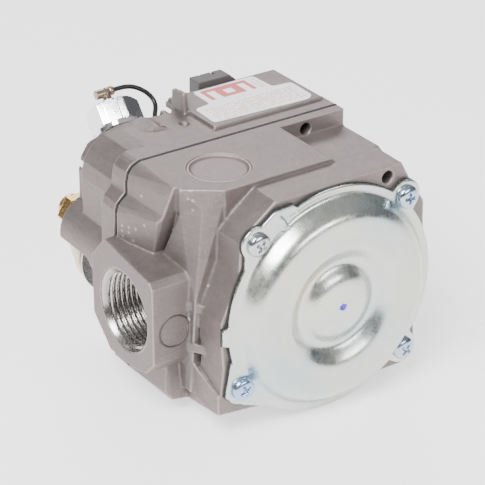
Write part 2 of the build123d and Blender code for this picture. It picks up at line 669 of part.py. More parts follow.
def pilot_fitting():
    """Brass compression fitting of the pilot tube."""
    body = hex_y(12.0, PILOT_X, PILOT_Z, HEAD_BACK + 1.0, HEAD_BACK + 5.0)
    body += rod_y(3.2, PILOT_X, PILOT_Z, HEAD_BACK - 6.0, HEAD_BACK + 2.0)
    body += rod_y(4.6, PILOT_X, PILOT_Z, HEAD_BACK + 4.5, HEAD_BACK + 8.5)
    return body - rod_y(2.0, PILOT_X, PILOT_Z, HEAD_BACK - 8, HEAD_BACK + 10)


def pilot_adjust_screw():
    screw = rod_y(2.5, ADJUST_X, ADJUST_Z, 36.0, HEAD_BACK - 1.0)
    return screw - box(ADJUST_X - 3, ADJUST_X + 3, HEAD_BACK - 2.2, HEAD_BACK, ADJUST_Z - 0.4, ADJUST_Z + 0.4)


# ---- electrical pieces --------------------------------------------------------------------------
def terminal_block():
    outline = [
        (BLOCK_LOW[0], BLOCK_LOW[2]), (BLOCK_LOW[0], BLOCK_HIGH[2]), (70.8, BLOCK_HIGH[2]),
        (BLOCK_HIGH[0], 44.9), (BLOCK_HIGH[0], BLOCK_LOW[2]),
    ]
    block = prism_y(outline, BLOCK_LOW[1], BLOCK_HIGH[1])
    for x in (TERMINAL_X[0] + 2.25, TERMINAL_X[1] + 2.25):
        block -= box(x - 0.3, x + 0.3, BLOCK_HIGH[1] - 2.5, BLOCK_HIGH[1] + 1, 33.0, 60.0)
    for x in TERMINAL_X:
        block -= rod_y(1.5, x, TERMINAL_Z, BLOCK_HIGH[1] - 5.0, BLOCK_HIGH[1] + 1)
    return block


def terminal_screws():
    return [pan_screw(x, TERMINAL_Z, BLOCK_HIGH[1], 1.5, 4.5, 1.9, 1) for x in TERMINAL_X]


def rating_label():
    """Printed T-shaped label on the head's platform."""
    outline = [(47.4, 19.4), (84.0, 17.6), (86.4, 19.6), (86.8, 32.0), (79.6, 32.6), (79.0, 43.6),
               (54.6, 43.4), (54.4, 32.4), (48.0, 31.6)]
    return prism_z(outline, LABEL_Z, LABEL_Z + 0.25)


def crimp_terminal():
    """Stud of the power unit and the crimped ring terminal on it."""
    stud = Pos(0, 0, NUT_H + 1.2 + 1.7) * Cylinder(1.6, 3.4)
    stud += Pos(0, 0, NUT_H + 1.2 + 0.5) * Cylinder(2.6, 1.0)
    piece = magnet_place(stud)
    x, y, z = LEAD_ROUTE[0]
    run = Vector(*LEAD_ROUTE[1]) - Vector(x, y, z)
    barrel = extrude(Plane(origin=(x, y, z), z_dir=run) * Circle(1.6), -6.6)
    return piece + barrel


def lead_wire():
    corners = [Vector(*p) for p in LEAD_ROUTE]
    radii = []
    for i in range(1, len(corners) - 1):
        before = corners[i] - corners[i - 1]
        after = corners[i + 1] - corners[i]
        turn = math.radians(before.get_angle(after))
        radii.append(0.45 * min(before.length, after.length) / math.tan(turn / 2))
    path = FilletPolyline(*corners, radius=radii)
    print("lead radii", [round(r, 1) for r in radii], "length", round(path.length, 1))
    section = Plane(origin=corners[0], z_dir=(corners[1] - corners[0])) * Circle(LEAD_R)
    tube = sweep(section, path=path)
    print("lead volume", round(tube.volume, 1), "expected", round(math.pi * LEAD_R ** 2 * path.length, 1))
    return tube


def inlet_screen():
    """Round strainer in the gas way behind the inlet thread."""
    front = PORT_DEPTH + 2.0
    screen = rod_x(PASSAGE_R - 0.1, 0, 0, front, front + 1.0)
    for ring_r, count in ((0.0, 1), (3.4, 6), (7.4, 12)):
        for i in range(count):
            a = 2 * math.pi * i / count
            screen -= rod_x(1.3, ring_r * math.cos(a), ring_r * math.sin(a), front - 1, front + 2)
    return screen


def top_disc_plug():
    """Shallow cup pressed into the top face and staked round its rim."""
    profile = [
        (0, -2.9), (PLUG_R, -2.9), (PLUG_R, -0.2), (PLUG_R - 0.9, -0.2), (PLUG_R - 1.3, -0.9), (0, -0.7),
    ]
    face = make_face(Polyline(*profile, close=True))
    disc = Rot(90, 0, 0) * revolve(face, Axis.Y, 360)
    return Pos(PLUG_X, PLUG_Y, BODY_TOP) * disc


def tap_plug():
    """Slotted plug of the outlet pressure tapping."""
    plug = rod_z(2.4, 92.5, -3.0, 12.0, 21.0)
    return plug - box(90.0, 95.0, -3.4, -2.6, 19.6, 22.0)


# ---- write every node ---------------------------------------------------------------------------
save("valve_body", valve_body())
save("diaphragm_cover", diaphragm_cover())
save("main_diaphragm", main_diaphragm())
save("diaphragm_plates", diaphragm_plates())
save("main_valve_stem", main_valve_stem())
save("main_valve_disc", main_valve_disc())
save("main_valve_seat", main_valve_seat())
save("main_valve_guide", main_valve_guide())
save("main_valve_spring", spring_y(7.0, 0.5, 3, COVER_X, COVER_Z, -40.0, -35.3))
save("cover_screws", solids_of(cover_screws()))
save("head_gasket", head_gasket())
save("head_casting", head_casting())
save("head_screws", solids_of(head_screws()))
save("cock_plug", cock_plug())
save("cock_bush", cock_bush())
save("cock_spring", cock_spring())
save("control_knob", knob())
save("knob_spring", knob_spring())
save("magnet_nut", magnet_nut())
save("magnet_can", magnet_can())
save("magnet_core", magnet_core())
save("magnet_coil", magnet_coil())
save("magnet_armature", magnet_armature())
save("safety_valve_disc", safety_valve_disc())
save("crimp_terminal", crimp_terminal())
save("lead_wire", lead_wire())
save("regulator_screw", regulator_screw())
save("regulator_cap", regulator_cap())
save("regulator_spring", regulator_spring())
save("regulator_diaphragm", regulator_diaphragm())
save("operator_coil", operator_coil())
save("operator_frame", operator_frame())
save("operator_plunger", operator_plunger())
save("operator_spring", operator_spring())
save("pilot_fitting", pilot_fitting())
save("pilot_adjust_screw", pilot_adjust_screw())
save("terminal_block", terminal_block())
save("terminal_screws", solids_of(terminal_screws()))
save("rating_label", rating_label())
save("inlet_screen", inlet_screen())
save("top_disc_plug", top_disc_plug())
save("tap_plug", tap_plug())
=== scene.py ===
import math

import bmesh
import bpy
from mathutils import Matrix, Vector

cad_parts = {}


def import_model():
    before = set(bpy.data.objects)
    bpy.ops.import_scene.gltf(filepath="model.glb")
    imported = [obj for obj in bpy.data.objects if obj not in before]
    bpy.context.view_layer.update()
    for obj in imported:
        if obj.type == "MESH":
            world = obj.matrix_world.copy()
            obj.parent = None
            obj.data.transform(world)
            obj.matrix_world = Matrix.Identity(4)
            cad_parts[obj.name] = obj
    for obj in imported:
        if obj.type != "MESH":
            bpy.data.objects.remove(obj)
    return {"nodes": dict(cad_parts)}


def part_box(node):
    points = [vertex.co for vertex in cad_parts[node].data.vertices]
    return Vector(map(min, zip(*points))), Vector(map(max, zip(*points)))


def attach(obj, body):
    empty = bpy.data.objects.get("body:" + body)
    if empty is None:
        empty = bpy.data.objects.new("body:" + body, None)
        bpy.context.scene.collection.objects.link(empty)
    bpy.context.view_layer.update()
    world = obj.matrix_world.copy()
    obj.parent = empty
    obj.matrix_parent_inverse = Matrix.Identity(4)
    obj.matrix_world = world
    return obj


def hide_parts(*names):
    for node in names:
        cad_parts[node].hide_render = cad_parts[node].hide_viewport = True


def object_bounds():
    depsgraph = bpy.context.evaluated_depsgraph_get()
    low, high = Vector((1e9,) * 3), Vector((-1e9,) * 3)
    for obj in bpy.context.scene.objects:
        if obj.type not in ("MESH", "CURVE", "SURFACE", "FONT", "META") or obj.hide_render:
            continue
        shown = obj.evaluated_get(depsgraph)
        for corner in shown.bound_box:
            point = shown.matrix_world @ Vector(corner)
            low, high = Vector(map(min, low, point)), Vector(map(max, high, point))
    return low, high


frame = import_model()
nodes = frame["nodes"]
cad_low, cad_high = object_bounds()

# ---- sizes in metres -----------------------------------------------------------------------------
MM = 0.001
CAST_VOXEL = 0.36 * MM
FINE_VOXEL = 0.22 * MM

PORT_BORE_R = 12.1 * MM        # thread crests
THREAD_DEPTH = 1.1 * MM
THREAD_PITCH = 1.814 * MM
THREAD_START = 1.7 * MM
THREAD_END = 17.6 * MM
PORT_DEPTH = 20.0 * MM
MOUTH_R = 13.9 * MM
SLEEVE_R = 15.2 * MM

LEAD_R = 0.8 * MM
LEAD_ROUTE = [
    (30.5, 54.4, 48.3), (34.6, 54.4, 48.6), (39.0, 53.7, 47.6), (43.0, 52.0, 44.8),
    (44.2, 49.4, 41.6), (40.2, 44.6, 39.3), (37.6, 38.8, 37.0),
]
MAGNET_FOOT = Vector((26.7, 44.8, 39.2)) * MM
MAGNET_AXIS = Vector((0.08, 0.749, 0.659))
NUT_AF = 15.7


# ---- small helpers -------------------------------------------------------------------------------
def middle(node):
    low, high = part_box(node)
    return (low + high) / 2


def new_piece(name, mesh, material):
    piece = bpy.data.objects.new(name, mesh)
    bpy.context.scene.collection.objects.link(piece)
    mesh.materials.clear()
    mesh.materials.append(material)
    return piece


def mesh_of(name, points, faces, smooth=True):
    mesh = bpy.data.meshes.new(name)
    mesh.from_pydata([tuple(p) for p in points], [], faces)
    mesh.update()
    mesh.polygons.foreach_set("use_smooth", [smooth] * len(mesh.polygons))
    return mesh


def frozen(piece):
    """Apply every modifier of a piece to its mesh."""
    bpy.context.view_layer.update()
    graph = bpy.context.evaluated_depsgraph_get()
    mesh = bpy.data.meshes.new_from_object(piece.evaluated_get(graph))
    piece.modifiers.clear()
    old = piece.data
    piece.data = mesh
    bpy.data.meshes.remove(old)
    return piece


def copy_of(node, name, material):
    """Loose copy of a CAD node's mesh, welded so that it's closed."""
    work = bmesh.new()
    work.from_mesh(nodes[node].data)
    bmesh.ops.remove_doubles(work, verts=work.verts, dist=1e-6)
    mesh = bpy.data.meshes.new(name)
    work.to_mesh(mesh)
    work.free()
    return new_piece(name, mesh, material)


def cut_away(piece, cutter):
    step = piece.modifiers.new("cut", "BOOLEAN")
    step.operation = "DIFFERENCE"
    step.solver = "EXACT"
    step.object = cutter
    frozen(piece)
    bpy.data.objects.remove(cutter)


def softened(piece, voxel, passes):
    """One closed skin with every edge rounded a little, as a casting or a moulding has."""
    skin = piece.modifiers.new("skin", "REMESH")
    skin.mode = "VOXEL"
    skin.voxel_size = voxel
    skin.use_smooth_shade = True
    ease = piece.modifiers.new("ease", "SMOOTH")
    ease.factor = 0.5
    ease.iterations = passes
    return frozen(piece)


def joined(name, pieces):
    """Several pieces made into one, with each one's material kept."""
    first = pieces[0]
    with bpy.context.temp_override(active_object=first, selected_editable_objects=pieces):
        bpy.ops.object.join()
    first.name = name
    return first


def place(piece, node_list, body, slot):
    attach(piece, body)
    if node_list:
        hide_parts(*node_list)
    return piece


def axes_for(direction):
    """Right-handed axes whose third one is the direction."""
    third = Vector(direction).normalized()
    first = Vector((0, 0, 1)) if abs(third.z) < 0.9 else Vector((1, 0, 0))
    second = third.cross(first).normalized()
    first = second.cross(third).normalized()
    return Matrix((first, second, third)).transposed()


def turned_mesh(name, rows, origin, direction, steps=64, radius_at=None):
    """Surface through (radius, height) rows; radius_at(radius, height, angle) may shape each ring."""
    turn = axes_for(direction)
    origin = Vector(origin)
    points, faces, rings = [], [], []
    for radius, height in rows:
        if radius < 1e-9:
            rings.append([len(points)])
            points.append(origin + turn @ Vector((0, 0, height)))
            continue
        ring = []
        for i in range(steps):
            a = 2 * math.pi * i / steps
            r = radius_at(radius, height, a) if radius_at else radius
            ring.append(len(points))
            points.append(origin + turn @ Vector((r * math.cos(a), r * math.sin(a), height)))
        rings.append(ring)
    for low, high in zip(rings, rings[1:]):
        for i in range(steps):
            j = (i + 1) % steps
            if len(low) == 1:
                faces.append((low[0], high[j], high[i]))
            elif len(high) == 1:
                faces.append((low[i], low[j], high[0]))
            else:
                faces.append((low[i], low[j], high[j], high[i]))
    return mesh_of(name, points, faces)


def turned(name, rows_mm, origin, direction, material, steps=64, radius_at=None):
    """Turned piece; its (radius, height) outline is in millimetres and starts and ends on the axis."""
    rows = [(r * MM, h * MM) for r, h in rows_mm]
    mesh = turned_mesh(name, rows, origin, direction, steps, radius_at)
    return new_piece(name, mesh, material)


def crisp(piece, angle=35):
    """Flat look across sharp edges and a smooth look everywhere else."""
    piece.data.set_sharp_from_angle(angle=math.radians(angle))
    return piece


# ---- materials -----------------------------------------------------------------------------------
class Paint:
    """Node material under construction: one Principled shader and what feeds it."""

    def __init__(self, name, **constants):
        self.material = bpy.data.materials.new(name)
        self.material.use_nodes = True
        self.tree = self.material.node_tree
        self.shader = self.tree.nodes["Principled BSDF"]
        self.place = self.tree.nodes.new("ShaderNodeTexCoord").outputs["Object"]
        self.normal = None
        for key, value in constants.items():
            self.shader.inputs[key.replace("_", " ")].default_value = value

    def node(self, kind, inputs=(), **settings):
        made = self.tree.nodes.new("ShaderNode" + kind)
        for key, value in settings.items():
            setattr(made, key, value)
        for key, value in dict(inputs).items():
            if isinstance(value, bpy.types.NodeSocket):
                self.tree.links.new(value, made.inputs[key])
            else:
                made.inputs[key].default_value = value
        return made

    def noise(self, scale, detail=3.0, roughness=0.6, place=None):
        inputs = {"Vector": place or self.place, "Scale": scale, "Detail": detail, "Roughness": roughness}
        return self.node("TexNoise", inputs).outputs["Fac"]

    def stretched(self, x, y, z):
        return self.node("Mapping", {"Vector": self.place, "Scale": (x, y, z)}).outputs["Vector"]

    def ranged(self, value, low, high, to_low=0.0, to_high=1.0):
        inputs = {"Value": value, "From Min": low, "From Max": high, "To Min": to_low, "To Max": to_high}
        return self.node("MapRange", inputs).outputs["Result"]

    def maths(self, operation, first, second=0.0):
        return self.node("Math", {0: first, 1: second}, operation=operation).outputs[0]

    def mixed(self, factor, first, second):
        mix = self.node("Mix", {0: factor}, data_type="RGBA")
        for socket, value in ((mix.inputs[6], first), (mix.inputs[7], second)):
            if isinstance(value, bpy.types.NodeSocket):
                self.tree.links.new(value, socket)
            else:
                socket.default_value = (*value, 1.0)
        return mix.outputs[2]

    def bump(self, height, strength, distance):
        inputs = {"Height": height, "Strength": strength, "Distance": distance}
        if self.normal:
            inputs["Normal"] = self.normal
        self.normal = self.node("Bump", inputs).outputs["Normal"]

    def done(self, colour=None, roughness=None):
        for key, value in (("Base Color", colour), ("Roughness", roughness), ("Normal", self.normal)):
            if value is not None:
                self.tree.links.new(value, self.shader.inputs[key])
        return self.material


def tinted(colour, factor):
    return tuple(min(1.0, c * factor) for c in colour)


def cast_metal(name, colour):
    """Satin die-cast aluminium: coarse grain, cloudy tone, convex edges lighter as wear and a painted edge
    highlight, hollows darker as painted shade.
    """
    paint = Paint(name, Metallic=0.7)
    cloud = paint.ranged(paint.noise(60.0, 5.0, 0.65), 0.3, 0.7)
    flow = paint.noise(430.0, 6.0, 0.78)
    grain = paint.noise(2100.0, 3.0, 0.6)
    drag = paint.noise(260.0, 4.0, 0.7, paint.stretched(1.0, 1.0, 5.0))
    tone = paint.mixed(cloud, tinted(colour, 0.80), tinted(colour, 1.12))
    tone = paint.mixed(paint.ranged(drag, 0.35, 0.7), tone, paint.mixed(0.5, tone, tinted(colour, 1.3)))
    tone = paint.mixed(paint.ranged(flow, 0.38, 0.30), tone, paint.mixed(0.5, tone, tinted(colour, 0.35)))
    tone = paint.mixed(paint.ranged(grain, 0.60, 0.74), tone, tinted(colour, 1.7))
    bend = paint.node("NewGeometry").outputs["Pointiness"]
    # convex edges lightened: patchy wear plus a painted edge highlight standing in for light caught on the
    # rounded edges
    wear_and_edge_highlight = paint.maths("MULTIPLY", paint.ranged(bend, 0.508, 0.56), paint.ranged(flow, 0.25, 0.6, 0.3, 1.0))
    tone = paint.mixed(wear_and_edge_highlight, tone, tinted(colour, 2.4))
    # painted shade: concave hollows and corners darkened where shade falls
    tone = paint.mixed(paint.ranged(bend, 0.492, 0.43), tone, tinted(colour, 0.42))
    paint.bump(flow, 0.6, 0.00035)
    paint.bump(grain, 0.45, 0.00012)
    return paint.done(tone, paint.ranged(cloud, 0.0, 1.0, 0.40, 0.54))


def plated_metal(name, colour, cool, warm, roughness, ripple=0.05):
    """Bright plate with a faint drifting tint, handling haze and a slightly uneven sheet."""
    paint = Paint(name, Metallic=1.0)
    drift = paint.ranged(paint.noise(38.0, 3.0), 0.35, 0.65)
    haze = paint.noise(260.0, 5.0, 0.7)
    fine = paint.noise(1900.0, 2.0)
    tone = paint.mixed(drift, cool, warm)
    tone = paint.mixed(paint.ranged(haze, 0.4, 0.75, 0.0, 0.55), tone, colour)
    paint.bump(paint.noise(150.0, 2.0), ripple, 0.0004)
    paint.bump(fine, 0.08, 0.00004)
    return paint.done(tone, paint.ranged(haze, 0.3, 0.7, roughness * 0.75, roughness * 1.35))


def machined_metal(name, colour, roughness, lines=(1.0, 1.0, 1.0)):
    """Turned or drawn metal with tool lines along the squeezed direction."""
    paint = Paint(name, Metallic=1.0)
    tool = paint.noise(900.0, 3.0, 0.6, paint.stretched(*lines))
    cloud = paint.noise(120.0, 4.0)
    tone = paint.mixed(paint.ranged(cloud, 0.35, 0.65), tinted(colour, 0.82), tinted(colour, 1.08))
    bend = paint.node("NewGeometry").outputs["Pointiness"]
    # painted shade: concave hollows and corners darkened where shade falls
    tone = paint.mixed(paint.ranged(bend, 0.49, 0.42), tone, tinted(colour, 0.35))
    paint.bump(tool, 0.25, 0.00006)
    return paint.done(tone, paint.ranged(tool, 0.3, 0.7, roughness * 0.8, roughness * 1.3))


def moulded(name, colour, roughness, depth=0.00005):
    """Moulded plastic or rubber: fine spark texture, soft mottling and convex edges paled as a painted
    highlight.
    """
    paint = Paint(name)
    fine = paint.noise(2400.0, 3.0, 0.7)
    cloud = paint.ranged(paint.noise(90.0, 4.0), 0.35, 0.65)
    tone = paint.mixed(cloud, tinted(colour, 0.88), tinted(colour, 1.1))
    bend = paint.node("NewGeometry").outputs["Pointiness"]
    # painted highlight: convex edges paled as if they caught the light
    tone = paint.mixed(paint.ranged(bend, 0.52, 0.62, 0.0, 0.6), tone, tinted(colour, 1.5))
    paint.bump(fine, 0.3, depth)
    return paint.done(tone, paint.ranged(fine, 0.3, 0.7, roughness * 0.85, roughness * 1.15))


CAST = (0.185, 0.158, 0.153)
MATERIALS = {
    "body_casting": cast_metal("body_casting_look", CAST),
    "head_casting": cast_metal("head_casting_look", tinted(CAST, 0.97)),
    "plug_steel": cast_metal("plug_look", tinted(CAST, 1.15)),
    "gasket_rubber": moulded("gasket_look", (0.012, 0.011, 0.011), 0.7),
    "diaphragm_rubber": moulded("diaphragm_look", (0.02, 0.02, 0.02), 0.6),
    "valve_rubber": moulded("valve_rubber_look", (0.03, 0.03, 0.03), 0.6),
    "zinc_plate": plated_metal(
        "zinc_plate_look", (0.56, 0.59, 0.58), (0.48, 0.56, 0.58), (0.60, 0.60, 0.52), 0.24
    ),
    "zinc_screw": plated_metal(
        "zinc_screw_look", (0.46, 0.50, 0.55), (0.30, 0.45, 0.66), (0.56, 0.54, 0.48), 0.20
    ),
    "spring_steel": machined_metal("spring_look", (0.42, 0.42, 0.43), 0.3),
    "brass": machined_metal("brass_look", (0.80, 0.53, 0.20), 0.24),
    "ivory_plastic": moulded("ivory_look", (0.80, 0.69, 0.50), 0.42),
    "chrome": plated_metal(
        "chrome_look", (0.86, 0.87, 0.89), (0.84, 0.87, 0.91), (0.90, 0.89, 0.87), 0.07, 0.02
    ),
    "can_copper": machined_metal("copper_look", (0.72, 0.38, 0.24), 0.3),
    "core_steel": machined_metal("core_look", (0.36, 0.36, 0.37), 0.35),
    "tinned_brass": plated_metal(
        "tinned_look", (0.34, 0.28, 0.22), (0.30, 0.26, 0.22), (0.42, 0.32, 0.21), 0.3, 0.1
    ),
    "lead_insulation": moulded("lead_look", (0.004, 0.004, 0.005), 0.42, 0.00002),
    "cap_aluminium": machined_metal("cap_look", (0.48, 0.48, 0.48), 0.32),
    "coil_plastic": moulded("coil_look", (0.05, 0.05, 0.055), 0.5),
    # dark tone: the block's own dark moulding colour, also standing in as painted shade on the head's shadowed
    # wall
    "block_plastic": moulded("block_plastic_and_shade_look", (0.062, 0.058, 0.058), 0.55),
    "label_paper": moulded("label_plain_look", (0.80, 0.79, 0.78), 0.35),
}
for node_object in nodes.values():
    slot_name = node_object.data.materials[0].name.split(".")[0]
    node_object.data.materials.clear()
    node_object.data.materials.append(MATERIALS[slot_name])


# ---- castings ------------------------------------------------------------------------------------
PORTS = {"inlet": (0.0, 1.0), "outlet": (middle("valve_body").x * 2, -1.0)}


def rod_cutter(start, direction, radius, length):
    rows = [(0, 0), (radius / MM, 0), (radius / MM, length / MM), (0, length / MM)]
    return turned("cutter", rows, start, direction, MATERIALS["core_steel"], 96)


def valve_body_piece():
    piece = copy_of("valve_body", "valve_body_casting", MATERIALS["body_casting"])
    for face_x, inward in PORTS.values():
        start = (face_x - inward * MM, 0, 0)
        cut_away(piece, rod_cutter(start, (inward, 0, 0), MOUTH_R + 0.2 * MM, PORT_DEPTH + 0.6 * MM))
    softened(piece, CAST_VOXEL, 4)
    return place(piece, ["valve_body"], "valve", "body_casting")


def head_piece():
    piece = copy_of("head_casting", "operator_head_casting", MATERIALS["head_casting"])
    softened(piece, CAST_VOXEL, 4)
    return place(piece, ["head_casting"], "valve", "head_casting")


def thread_piece(end, face_x, inward):
    """Machined sleeve of a port: chamfered mouth, one true helical thread and the plain end."""
    steps = 96
    rows = [(SLEEVE_R, PORT_DEPTH + 0.4 * MM), (SLEEVE_R, 1.2 * MM), (MOUTH_R + 0.2 * MM, 0.25 * MM)]
    rows += [(MOUTH_R - 0.15 * MM, 0.25 * MM), (MOUTH_R - 0.3 * MM, 0.45 * MM)]
    slices = 1
    step = THREAD_PITCH / 14 * slices
    count = int((THREAD_END - THREAD_START) / step)
    rows += [(PORT_BORE_R, THREAD_START + i * step) for i in range(count + 1)]
    rows += [(PORT_BORE_R, PORT_DEPTH), (PORT_BORE_R, PORT_DEPTH + 0.4 * MM)]
    rows.append(rows[0])

    def radius_at(radius, height, angle):
        if radius > PORT_BORE_R * 1.01 or height < THREAD_START or height > THREAD_END + step:
            return radius
        phase = (height / THREAD_PITCH - angle / (2 * math.pi)) % 1.0
        ramp = 1 - abs(2 * phase - 1)
        groove = min(1.0, max(0.0, (ramp - 0.12) / 0.76))
        fade = min(1.0, (THREAD_END - height) / (1.5 * THREAD_PITCH) + 0.05)
        taper = 1 - (height - THREAD_START) / (THREAD_END * 8)
        return radius + THREAD_DEPTH * groove * max(0.0, fade) * taper

    mesh = turned_mesh("thread", rows, (face_x, 0, 0), (inward, 0, 0), steps, radius_at)
    piece = new_piece(end + "_pipe_thread", mesh, THREAD_LOOK)
    return place(crisp(piece, 50), [], "valve", "body_casting")


THREAD_LOOK = machined_metal("thread_look", (0.52, 0.50, 0.48), 0.24, (6.0, 1.0, 1.0))
valve_body_piece()
head_piece()
for end_name, (port_x, way_in) in PORTS.items():
    thread_piece(end_name, port_x, way_in)


# ---- diaphragm cover -----------------------------------------------------------------------------
cover_low, cover_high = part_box("diaphragm_cover")
cover_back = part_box("main_diaphragm")[0].y          # sealing face of the plate, towards -Y
stem_middle = middle("main_valve_stem")
COVER_AXIS = Vector((stem_middle.x, cover_back, stem_middle.z))
COVER_R = COVER_AXIS.z - cover_low.z
SHEET_T = 1.2 * MM
SCREW_CIRCLE_R = 40.0 * MM
SCREW_ANGLES = [math.radians(a) for a in (135.3, 45.0, 211.3, -43.0)]
# Height of the pressed front over the flange, (radius, height), millimetres.
PRESSING = [
    (0.0, 5.85), (7.5, 5.75), (9.6, 5.2), (11.4, 4.1), (12.8, 2.8), (14.2, 2.4), (15.8, 2.8), (18.0, 4.6),
    (20.0, 5.95), (22.0, 6.4), (24.5, 6.3), (26.0, 6.45), (29.5, 6.4), (31.0, 6.0), (32.6, 4.9), (33.6, 3.6),
    (34.4, 2.1), (35.0, 1.1), (35.6, 0.35), (36.4, 0.0), (60.0, 0.0),
]


def inside_polygon(x, z, corners):
    inside = False
    for (x1, z1), (x2, z2) in zip(corners, corners[1:] + corners[:1]):
        if (z1 > z) != (z2 > z) and x < x1 + (z - z1) / (z2 - z1) * (x2 - x1):
            inside = not inside
    return inside


UPPER_LUG = [(22.4, 23.0), (22.7, 31.0), (24.2, 33.2), (33.4, 39.9), (40.4, 40.4), (50.0, 30.0), (35.0, 10.0)]
LOWER_LUG = [(15.3, -20.0), (17.4, -8.0), (30.0, -8.0), (36.0, -30.0), (22.0, -24.5)]
SIDE_TAB = [(14.4, -1.4), (14.4, 4.6), (20.0, 4.6), (20.0, -1.4)]


def on_plate(x, z):
    """Whether a point, in millimetres, is on the cover's outline."""
    cx, cz = COVER_AXIS.x / MM, COVER_AXIS.z / MM
    if math.hypot(x - cx, z - cz) < COVER_R / MM:
        return True
    for a in SCREW_ANGLES:
        r = SCREW_CIRCLE_R / MM
        if math.hypot(x - cx - r * math.cos(a), z - cz - r * math.sin(a)) < 5.6:
            return True
    return any(inside_polygon(x, z, shape) for shape in (UPPER_LUG, LOWER_LUG, SIDE_TAB))


def rim_radius(angle):
    cx, cz = COVER_AXIS.x / MM, COVER_AXIS.z / MM
    r = 48.0
    while r > COVER_R / MM and not on_plate(cx + r * math.cos(angle), cz + r * math.sin(angle)):
        r -= 0.1
    return r


def eased(points, at):
    """Value at a position on the broken line through (position, value) pairs."""
    for (x1, y1), (x2, y2) in zip(points, points[1:]):
        if x1 <= at <= x2:
            return y1 + (y2 - y1) * (at - x1) / (x2 - x1)
    return points[-1][1]


def pressed_height(r, angle):
    """Front height at a radius in millimetres, averaged over a short span so that bends are round."""
    total = 0.0
    for k in range(-3, 4):
        total += eased(PRESSING, abs(r + k * 0.28))
    height = total / 7
    crease = math.exp(-(((r - 37.3) / 0.22) ** 2))
    turn = (math.degrees(angle) - 94.0) / 27.0
    height -= 0.28 * crease * max(0.0, 1 - turn ** 4)
    along = (r - 38.2) / 2.5
    across = (math.degrees(angle) - 121.0) / 1.9
    if abs(along) < 1 and abs(across) < 1:
        height += 1.1 * (1 - along ** 4) * (1 - abs(across) ** 6) * (1.2 - across) / 2.2
    return height


def cover_piece():
    angles = 720
    rims = [rim_radius(2 * math.pi * i / angles) for i in range(angles)]
    rims = [(rims[i - 1] + rims[i] * 2 + rims[(i + 1) % angles]) / 4 for i in range(angles)]
    radii = [0.45 * i for i in range(1, 81)]
    edge_steps = [0.12, 0.25, 0.4, 0.55, 0.7, 0.82, 0.92, 0.97, 1.0]
    points, faces, front_rings, back_rings = [], [], [], []

    def ring_of(depth, radius_of, height_of):
        ring = []
        for i in range(angles):
            a = 2 * math.pi * i / angles
            r = radius_of(i)
            ring.append(len(points))
            y = -SHEET_T * depth - height_of(r, a) * MM
            points.append(COVER_AXIS + Vector((r * math.cos(a) * MM, y, r * math.sin(a) * MM)))
        return ring

    def between(last, share):
        return lambda i: last + (rims[i] - last) * share

    last = radii[-1]
    for r in radii:
        front_rings.append(ring_of(1.0, lambda i, r=r: r, pressed_height))
    for share in edge_steps:
        drop = max(0.0, (share - 0.9) / 0.1) ** 2 * 0.25
        front_rings.append(ring_of(1.0 - drop, between(last, share), pressed_height))
    for share in reversed(edge_steps):
        back_rings.append(ring_of(0.02, between(last, share), lambda r, a: 0.0))
    for r in reversed(radii):
        back_rings.append(ring_of(0.02, lambda i, r=r: r, lambda r, a: eased(PRESSING, r)))
    rings = front_rings + back_rings
    front_middle, back_middle = len(points), len(points) + 1
    points.append(COVER_AXIS + Vector((0, -SHEET_T - pressed_height(0, 0) * MM, 0)))
    points.append(COVER_AXIS + Vector((0, -0.02 * SHEET_T - PRESSING[0][1] * MM, 0)))
    for low, high in zip(rings, rings[1:]):
        for i in range(angles):
            j = (i + 1) % angles
            faces.append((low[i], low[j], high[j], high[i]))
    for i in range(angles):
        j = (i + 1) % angles
        faces.append((front_middle, rings[0][j], rings[0][i]))
        faces.append((back_middle, rings[-1][i], rings[-1][j]))
    piece = new_piece("diaphragm_cover_pressing", mesh_of("cover", points, faces), COVER_LOOK)
    return place(piece, ["diaphragm_cover"], "valve", "zinc_plate")


def cover_look():
    """Bright zinc plate with handling marks, faint drawing rings and one violet inspection dot."""
    paint = Paint("cover_plate_look", Metallic=1.0)
    drift = paint.ranged(paint.noise(30.0, 3.0), 0.35, 0.65)
    haze = paint.noise(300.0, 6.0, 0.72)
    tone = paint.mixed(drift, (0.44, 0.53, 0.54), (0.57, 0.58, 0.50))
    tone = paint.mixed(paint.ranged(haze, 0.4, 0.75, 0.0, 0.6), tone, (0.60, 0.61, 0.60))
    offset = paint.node("VectorMath", {0: paint.place, 1: tuple(COVER_AXIS)}, operation="SUBTRACT").outputs[0]
    flat = paint.node("VectorMath", {0: offset, 1: (1.0, 0.0, 1.0)}, operation="MULTIPLY").outputs[0]
    reach = paint.node("VectorMath", {0: flat}, operation="LENGTH").outputs["Value"]
    blot = paint.noise(900.0, 3.0)
    dot_edge = paint.ranged(blot, 0.3, 0.7, 0.9 * MM, 1.6 * MM)
    dot = paint.maths("LESS_THAN", reach, dot_edge)
    ink = paint.mixed(paint.ranged(blot, 0.3, 0.75), (0.03, 0.02, 0.30), (0.12, 0.14, 0.55))
    tone = paint.mixed(dot, tone, ink)
    outward = paint.node("CombineXYZ", {"X": paint.maths("MULTIPLY", reach, 1400.0)}).outputs[0]
    rings = paint.noise(1.0, 2.0, 0.5, outward)
    paint.bump(rings, 0.05, 0.00006)
    paint.bump(paint.noise(170.0, 3.0), 0.07, 0.0005)
    paint.bump(paint.noise(1500.0, 3.0, 0.7), 0.10, 0.00004)
    past_valley = paint.ranged(reach, 19.5 * MM, 21.0 * MM)
    inside_shoulder = paint.ranged(reach, 31.0 * MM, 29.5 * MM)
    ring_zone = paint.maths("MULTIPLY", past_valley, inside_shoulder)
    matt = paint.maths("MULTIPLY", ring_zone, 0.12)
    rough = paint.maths("ADD", paint.ranged(haze, 0.3, 0.7, 0.20, 0.34), matt)
    return paint.done(tone, rough)


COVER_LOOK = cover_look()
cover_piece()


